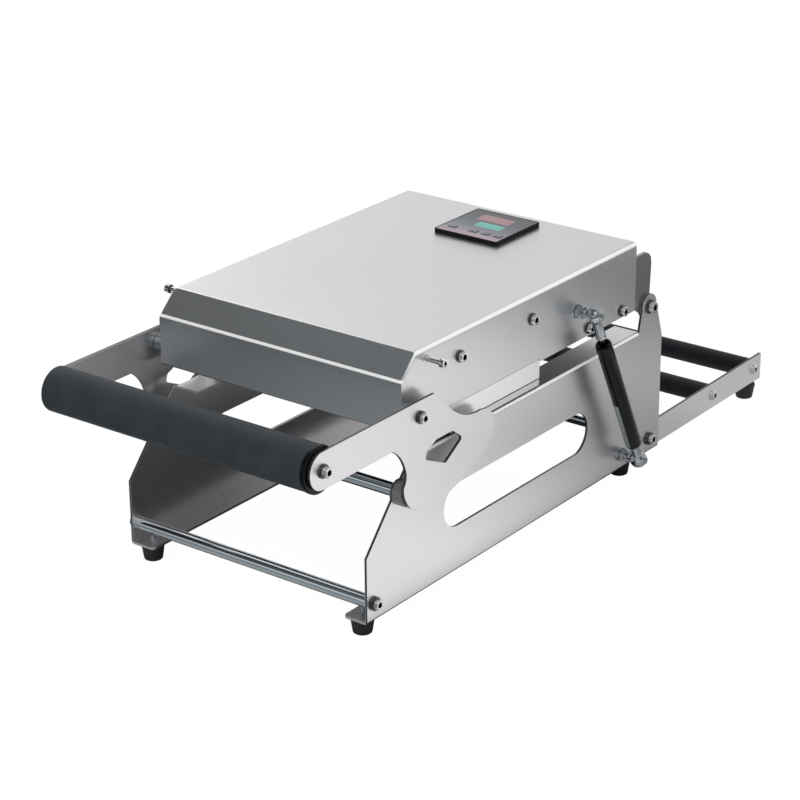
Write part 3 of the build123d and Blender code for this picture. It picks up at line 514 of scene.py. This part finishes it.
def button_head(build, place, radius=5.6, rim=0.5, rise=3.2, mouth=(1.9, 3.52), socket=1.55):
    """Domed head with a small socket."""
    dome = [(radius * math.cos(a), rim + rise * math.sin(a)) for a in (0.25, 0.5, 0.75, 0.95, 1.1)]
    build.turned([(0, 0), (radius, 0), (radius, rim)] + dome + [mouth], place)
    # the inside of the socket is painted shade
    build.turned([mouth, (hexagon(socket), 3.4), (hexagon(socket), 1.6), (0, 1.4)], place, SHADED_SOCKET)


def inner_nut(build, side, x, spot, thick=5.0, flat=4.85, shank=M6, spare=1.0):
    """Hexagon nut seated at x and growing inward, with the thread end showing."""
    place = outward(-side, -x, spot)
    build.turned([(0, 0), (flat, 0), (hexagon(flat), 0.5), (hexagon(flat), thick - 0.5), (flat, thick),
                  (0, thick)], place, PLAIN, FINE)
    build.turned([(shank, thick - 0.2), (shank, thick + spare - 0.4), (shank - 0.4, thick + spare),
                  (0, thick + spare)], place, DARK)


def plain_shank(build, side, tip, seat, spot, radius=M6):
    length = seat - tip
    build.turned([(0, 0), (radius, 0), (radius, length), (0, length)], outward(side, tip, spot))


build = Builder("frame_screw_set", BODY["frame_screws"], SCREW_LOOKS)
for side in SIDES:
    for spot in LOW_RODS:
        cap_head(build, outward(side, BODY_HALF, spot), high=6.8, base=6.4, base_high=2.6)
        plain_shank(build, side, BODY_HALF - 14.0, BODY_HALF, spot)
    cap_head(build, outward(side, BUSH_OUT, HIGH_ROD), base=5.0, base_high=0.6)
    plain_shank(build, side, 120.0, BUSH_OUT, HIGH_ROD)
    for spot in ROLLERS:
        button_head(build, outward(side, WEB_IN, spot))
        plain_shank(build, side, 115.0, WEB_IN, spot, M5)
build.finish("frame_screws")

build = Builder("head_screw_set", BODY["head_screws"], SCREW_LOOKS)
for side in SIDES:
    for spots, seat in ((BRACKET_SCREWS, HINGE_BRACKET_IN), (TOOL_SCREWS, TOOL_BRACKET_IN)):
        for spot in spots:
            cap_head(build, outward(side, BODY_HALF, spot), base=5.6)
            plain_shank(build, side, seat, BODY_HALF, spot)
            inner_nut(build, side, seat, spot)
    for shift in (-40.0, 40.0):
        place = Matrix.Translation(point(side, 120.2, (TOOL_MIDDLE + shift, 177.8)))
        cap_head(build, place, radius=4.0, high=4.5, base=4.2, base_high=0.6, socket=2.0)
        build.turned([(0, -10.5), (M5, -10.5), (M5, 0), (0, 0)], place)
build.finish("head_screws")

build = Builder("hinge_bolt_set", BODY["hinge_bolts"], SCREW_LOOKS)
for side in SIDES:
    cap_head(build, outward(side, BODY_HALF, HINGE), radius=5.2, high=6.8, base=7.0, base_high=1.6, socket=2.9)
    plain_shank(build, side, 120.6, BODY_HALF, HINGE, SHOULDER)
    inner_nut(build, side, HINGE_BRACKET_IN - 0.3, HINGE, flat=6.2, shank=SHOULDER)
build.finish("hinge_bolts")

build = Builder("pivot_stud_set", BODY["pivot_studs"], SCREW_LOOKS + (chrome,))
for side in SIDES:
    # spacer with a groove near its foot
    build.turned([(0, 0), (8.0, 0), (8.3, 0.3), (8.3, 3.2), (7.9, 3.5), (7.9, 3.9), (8.3, 4.2), (8.3, 9.2),
                  (8.0, 9.5), (0, 9.5)], outward(side, BODY_HALF, PIVOT), BRIGHT)
    plain_shank(build, side, 144.0, 148.2, PIVOT, SHOULDER)
    cap_head(build, outward(side, PIVOT_SEAT, PIVOT), base=5.7, base_high=2.0)
build.finish("pivot_studs")

build = Builder("handle_screw_set", BODY["handle_screws"], SCREW_LOOKS)
for side in SIDES:
    cap_head(build, outward(side, ARM_OUT, HANDLE), high=6.8, base=6.2, base_high=1.6)
    plain_shank(build, side, 127.0, ARM_OUT, HANDLE)
build.finish("handle_screws")

build = Builder("stop_pin_set", BODY["stop_pins"], SCREW_LOOKS)
for side in SIDES:
    build.turned([(0, 0), (3.4, 0), (3.4, 0.5), (2.5, 0.7), (2.5, 15.8), (0, 15.8)],
                 outward(side, BODY_HALF, STOP))
    cap_head(build, outward(side, STOP_NECK, STOP), radius=4.25, high=5.3, base=3.6, base_high=0.3, socket=1.7)
    plain_shank(build, side, 127.7, BODY_HALF, STOP, M5)
    inner_nut(build, side, WEB_IN, STOP, thick=4.0, flat=4.0, shank=M5, spare=0.5)
build.finish("stop_pins")


# gas struts

BALL_R = 5.0
TUBE_FROM = 20.6
ROD_FROM = 28.0
STRIP_RADII = (7.84, 7.95)
STRIP_ENDS = (23.5, 79.5)
STRIP_STEPS = 12


def ball_profile(radius, height, steps=12):
    """A whole ball with its middle at this height."""
    angles = [step / steps * math.pi for step in range(1, steps)]
    around = [(radius * math.sin(angle), height - radius * math.cos(angle)) for angle in angles]
    return [(0, height - radius)] + around + [(0, height + radius)]


def socket_profile(reach, radius=8.3):
    """Ball socket with its turned neck, from the ball's middle to the strut."""
    ball = [(radius * math.cos(a), radius * math.sin(a)) for a in map(math.radians, range(-80, 52, 10))]
    return [(0, -radius)] + ball + [
        (4.9, 7.2), (4.6, 8.0), (4.6, reach - 5.0), (4.2, reach - 4.5), (4.2, reach - 3.4), (4.9, reach - 3.0),
        (4.9, reach - 0.4), (4.5, reach), (0, reach)]


def wrap_strip(build, side, low, top):
    """A thin strip bent round the front of the tube that runs from low to top."""
    axis = (top - low).normalized()
    forward = Vector((0, -1, 0))
    ahead = (forward - axis * forward.dot(axis)).normalized()
    beside = axis.cross(ahead)
    rows = []
    for radius in STRIP_RADII:
        for height in STRIP_ENDS:
            row = []
            for step in range(STRIP_STEPS + 1):
                angle = side * math.radians(-80 + 93 * step / STRIP_STEPS)
                out = ahead * math.cos(angle) + beside * math.sin(angle)
                row.append(build.vertex(low + axis * height + out * radius))
            rows.append(row)
    inner_low, inner_high, outer_low, outer_high = rows
    around = (inner_low, inner_high, outer_high, outer_low)
    for one, two in zip(around, around[1:] + around[:1]):
        for i in range(STRIP_STEPS):
            build.mesh.faces.new((one[i], one[i + 1], two[i + 1], two[i]))
    for i in (0, STRIP_STEPS):
        build.mesh.faces.new([row[i] for row in around])


for name, spot in (("ball_studs_low", LOW_BALL), ("ball_studs_top", TOP_BALL)):
    build = Builder(name + "_set", BODY[name], (zinc, dark_metal))
    for side in SIDES:
        place = outward(side, BODY_HALF, spot)
        build.turned([(0, 0), (6.9, 0), (7.0, 0.3), (7.0, 1.6), (6.7, 1.8), (5.6, 1.8)], place)
        build.turned([(5.4, 1.8), (hexagon(5.7), 2.4), (hexagon(5.7), 8.3), (5.4, 8.9), (3.4, 9.0), (3.4, 17.0)],
                     place, PLAIN, FINE)
        build.turned(ball_profile(BALL_R, STRUT_X - BODY_HALF), place)
        plain_shank(build, side, 127.2, BODY_HALF, spot)
        inner_nut(build, side, WEB_IN, spot)
    build.finish(name)

for side, word in ((1, "right"), (-1, "left")):
    low, top = point(side, STRUT_X, LOW_BALL), point(side, STRUT_X, TOP_BALL)
    up, down = along(low, top), along(top, low)
    for name, place, reach, spot in (("socket_low_" + word, up, TUBE_FROM, LOW_BALL),
                                     ("socket_top_" + word, down, ROD_FROM, TOP_BALL)):
        build = Builder(name + "_turned", BODY[name], (chrome, socket_shade))
        build.turned(socket_profile(reach), place, 0, 64)
        # raised cap with a hexagon hole, outside the ball
        cap = outward(side, STRUT_X, spot)
        build.turned([(3.9, 7.0), (3.9, 7.9), (3.5, 8.3), (3.0, 8.35), (hexagon(2.3), 8.1)], cap, 0, FINE)
        # the hexagon hole is painted shade
        build.turned([(hexagon(2.3), 8.1), (hexagon(2.3), 7.5), (0, 7.5)], cap, 1, FINE)
        build.finish(name)
    build = Builder("strut_tube_" + word + "_rolled", BODY["strut_tube_" + word], (paint,))
    build.turned([(0, TUBE_FROM), (6.4, TUBE_FROM), (7.4, 21.3), (7.8, 22.4), (7.8, 138.6), (7.35, 139.2),
                  (7.35, 140.2), (7.8, 140.8), (7.8, 152.9), (7.5, 154.2), (6.9, 155.2), (5.4, 155.4),
                  (4.6, 155.0), (4.3, 152.0), (0, 151.5)], up, 0, 64)
    build.finish("strut_tube_" + word)
    build = Builder("strut_rod_" + word + "_ground", BODY["strut_rod_" + word], (paint,))
    build.turned([(0, ROD_FROM - 1.0), (3.0, ROD_FROM - 1.0), (3.0, 150.0), (0, 150.0)], down, 0, 40)
    build.finish("strut_rod_" + word)
    # blank rating strip
    build = Builder("strut_strip_" + word, BODY["strut_tube_" + word], (label_silver,))
    wrap_strip(build, side, low, top)
    build.finish()


# feet, springs and cable gland

FEET = ((120.0, 12.0), (120.0, 418.0), (121.2, 658.0))
SPRING_X, SPRING_SHIFT = 80.0, 36.0
SPRING_R, SPRING_WIRE = 5.2, 1.15
SPRING_LOW, SPRING_HIGH = 185.5, 225.8
SPRING_TURNS = 7
SPRING_STEPS = SPRING_TURNS * 24

build = Builder("foot_set", BODY["rubber_feet"], (rubber,))
for side in SIDES:
    for x, y in FEET:
        build.turned([(0, 0), (7.6, 0), (8.4, 0.6), (8.75, 1.6), (10.35, 12.2), (10.75, 13.0), (10.8, 14.4),
                      (10.5, 15.0), (0, 15.0)], Matrix.Translation(point(side, x, (y, 0))), 0, 64)
build.finish("rubber_feet")

build = Builder("spring_set", BODY["press_springs"], (zinc,))
for side in SIDES:
    for shift in (SPRING_SHIFT, -SPRING_SHIFT):
        coil = []
        for step in range(SPRING_STEPS + 1):
            angle = 2 * math.pi * SPRING_TURNS * step / SPRING_STEPS
            coil.append(Vector((
                side * SPRING_X + SPRING_R * math.cos(angle),
                FRONT + TOOL_MIDDLE + shift + SPRING_R * math.sin(angle),
                SPRING_LOW + (SPRING_HIGH - SPRING_LOW) * step / SPRING_STEPS)))
        build.swept(coil, SPRING_WIRE, 0, 8)
build.finish("press_springs", angle=60.0)

build = Builder("gland_set", BODY["cable_gland"], (plastic,))
middle = point(1, 60.0, GLAND)
place = along(middle, middle + Vector((0, 1, 0)))
build.turned([(0, 0), (9.2, 0), (hexagon(9.5), 0.4), (hexagon(9.5), 5.4), (9.2, 5.8), (8.6, 6.0)], place, 0, FINE)
build.turned([(8.6, 6.0), (knurl(9.0, 0.35, 18), 6.4), (knurl(8.9, 0.35, 18), 10.4), (7.6, 11.8), (5.2, 12.2),
              (4.5, 12.5), (3.0, 12.4), (2.8, 6.0), (0, 6.0)], place, 0, FINE)
build.turned([(0, -12.0), (6.0, -12.0), (6.0, 0), (0, 0)], place)
build.turned([(0, -6.5), (8.4, -6.5), (hexagon(8.6), -6.0), (hexagon(8.6), -2.9), (8.4, -2.5), (0, -2.5)],
             place, 0, FINE)
build.finish("cable_gland")


# floor: white to the camera, pale to diffuse rays, and soft grey levels set by place to glossy rays

FLOOR_HALF = 6

floor = Look("floor_look", (0.86, 0.86, 0.86), 0.9)
floor_path = floor.add("ShaderNodeLightPath").outputs
across, behind, _ = floor.parts("Object")
right_side = floor.ramp(behind, [
    (0.08, 0.93), (0.26, 0.98), (0.35, 0.74), (0.42, 0.42), (0.48, 0.19), (0.56, 0.03), (0.70, 0.03), (0.82, 0.5)])
near_side = floor.ramp(floor.math("ADD", behind, 0.15), [
    (0.05, 0.88), (0.19, 0.62), (0.30, 0.36), (0.40, 0.30), (0.48, 0.40), (0.60, 0.40), (0.80, 0.20), (0.95, 1.0)])
floor_level = floor.blend(floor.rise(across, 0.28, 0.40), near_side, right_side)
# painted shadow under the machine, seen only in reflections on the metal
shadow_under = floor.math("MULTIPLY", floor.within(across, -0.16, 0.152, 0.02), floor.within(behind, -0.30, 0.19, 0.04))
in_front = floor.math("MULTIPLY", floor.rise(across, 0.42, 0.50, 1.0, 0.0),
                      floor.rise(behind, -0.34, -0.26, 1.0, 0.0))
front_right = floor.math("MULTIPLY", floor.rise(across, 0.58, 0.75), floor.rise(behind, -0.38, -0.26, 1.0, 0.0))
front_shade = floor.math("MULTIPLY", in_front, floor.rise(across, -0.45, -0.05, 0.90, 0.76))
front_share = floor.math("MULTIPLY", floor.math("SUBTRACT", 1.0, front_shade),
                         floor.rise(front_right, 0.0, 1.0, 1.0, 0.12))
under_share = floor.math("SUBTRACT", 1.25, floor.math("MULTIPLY", shadow_under, 1.22))

white = floor.add("ShaderNodeEmission")
white.inputs["Strength"].default_value = 1.03
mirrored = floor.add("ShaderNodeEmission")
floor.fill(mirrored.inputs["Color"], floor.blend(in_front, floor_level, (0.88, 0.96, 1.0)))
floor.fill(mirrored.inputs["Strength"], floor.math("MULTIPLY", under_share, front_share))
plain = floor.add("ShaderNodeMixShader")
floor.fill(plain.inputs[0], floor.math("MULTIPLY", floor_path["Is Camera Ray"], 0.95))
floor.fill(plain.inputs[1], floor.shader.outputs[0])
floor.fill(plain.inputs[2], white.outputs[0])
whole = floor.add("ShaderNodeMixShader")
floor.fill(whole.inputs[0], floor_path["Is Glossy Ray"])
floor.fill(whole.inputs[1], plain.outputs[0])
floor.fill(whole.inputs[2], mirrored.outputs[0])
floor.link(whole.outputs[0], floor.tree.nodes["Material Output"].inputs["Surface"])

floor_mesh = bpy.data.meshes.new("floor")
floor_mesh.from_pydata([(x * FLOOR_HALF, y * FLOOR_HALF, 0) for x, y in ((-1, -1), (1, -1), (1, 1), (-1, 1))],
                       [], [(0, 1, 2, 3)])
floor_mesh.materials.append(floor.material)
plane = bpy.data.objects.new("floor", floor_mesh)
bpy.context.scene.collection.objects.link(plane)


# world: plain white to diffuse rays, and levels set by direction to glossy rays

world = bpy.data.worlds.new("studio")
bpy.context.scene.world = world
world.use_nodes = True
world.node_tree.nodes.clear()
sky = Graph(world.node_tree)
sky_path = sky.add("ShaderNodeLightPath").outputs
east, north, high = sky.parts("Generated")
dim = sky.rise(east, -0.63, -0.49, 0.0, 0.30)
bright = sky.math("MULTIPLY", sky.rise(north, -0.06, 0.34), sky.rise(east, -0.75, -0.40, 1.30, 0.62))
bright = sky.math("MULTIPLY", bright, sky.rise(east, -0.92, -0.70, 0.55, 1.0))
# a light strip low in front, and one low at the back, which draw the bright lines along the bends
front_strip = sky.math("MULTIPLY", sky.within(high, 0.02, 0.30, 0.04), sky.rise(north, -0.45, -0.60))
back_strip = sky.math("MULTIPLY", sky.within(high, -0.10, 0.16, 0.06), sky.rise(north, 0.60, 0.80))
strips = sky.math("ADD", sky.math("MULTIPLY", front_strip, 0.7), sky.math("MULTIPLY", back_strip, 0.6))
sky_level = sky.math("ADD", sky.math("ADD", dim, bright), strips)
strength = sky.mixed(sky_path["Is Glossy Ray"], 1.0, sky_level)
# the camera sees it lighter, so that it meets the floor without a line
seen = sky.math("MULTIPLY", sky_path["Is Camera Ray"], 0.5)
cool = sky.math("MULTIPLY", sky_path["Is Glossy Ray"], sky.rise(north, -0.14, 0.30, 1.0, 0.0))
background = sky.add("ShaderNodeBackground")
sky.fill(background.inputs["Strength"], sky.math("ADD", strength, seen))
sky.fill(background.inputs["Color"], sky.blend(cool, (0.8, 0.8, 0.8), (0.735, 0.80, 0.85)))
sky.link(background.outputs[0], sky.add("ShaderNodeOutputWorld").inputs["Surface"])


# lamps and camera

LAMP_SIZE = 2.0
LAMP_TARGET = Vector((0, 0, 0.1))
for name, place, power in (("key", Vector((1.6, -1.2, 2.2)), 12), ("fill", Vector((-2.0, 0.6, 1.8)), 9)):
    data = bpy.data.lights.new(name, "AREA")
    data.shape = "RECTANGLE"
    data.size = data.size_y = LAMP_SIZE
    data.energy = power
    lamp = bpy.data.objects.new(name, data)
    bpy.context.scene.collection.objects.link(lamp)
    lamp.location = place
    lamp.rotation_euler = (LAMP_TARGET - place).to_track_quat("-Z", "Y").to_euler()

CAMERA_AT = (1.304398, -1.781767, 1.017286)
CAMERA_RIGHT = (0.798202, 0.602349, -0.007063)
CAMERA_UP = (-0.227809, 0.312694, 0.922131)
CAMERA_BACK = (0.557653, -0.734438, 0.386814)
camera_data = bpy.data.cameras.new("photo_camera")
camera_data.lens = 113.7235
camera_data.sensor_width = 36.0
camera = bpy.data.objects.new("photo_camera", camera_data)
bpy.context.scene.collection.objects.link(camera)
turn = Matrix((CAMERA_RIGHT, CAMERA_UP, CAMERA_BACK)).transposed().to_4x4()
camera.matrix_world = Matrix.Translation(CAMERA_AT) @ turn
bpy.context.scene.camera = camera
bpy.context.scene.view_settings.view_transform = "Standard"
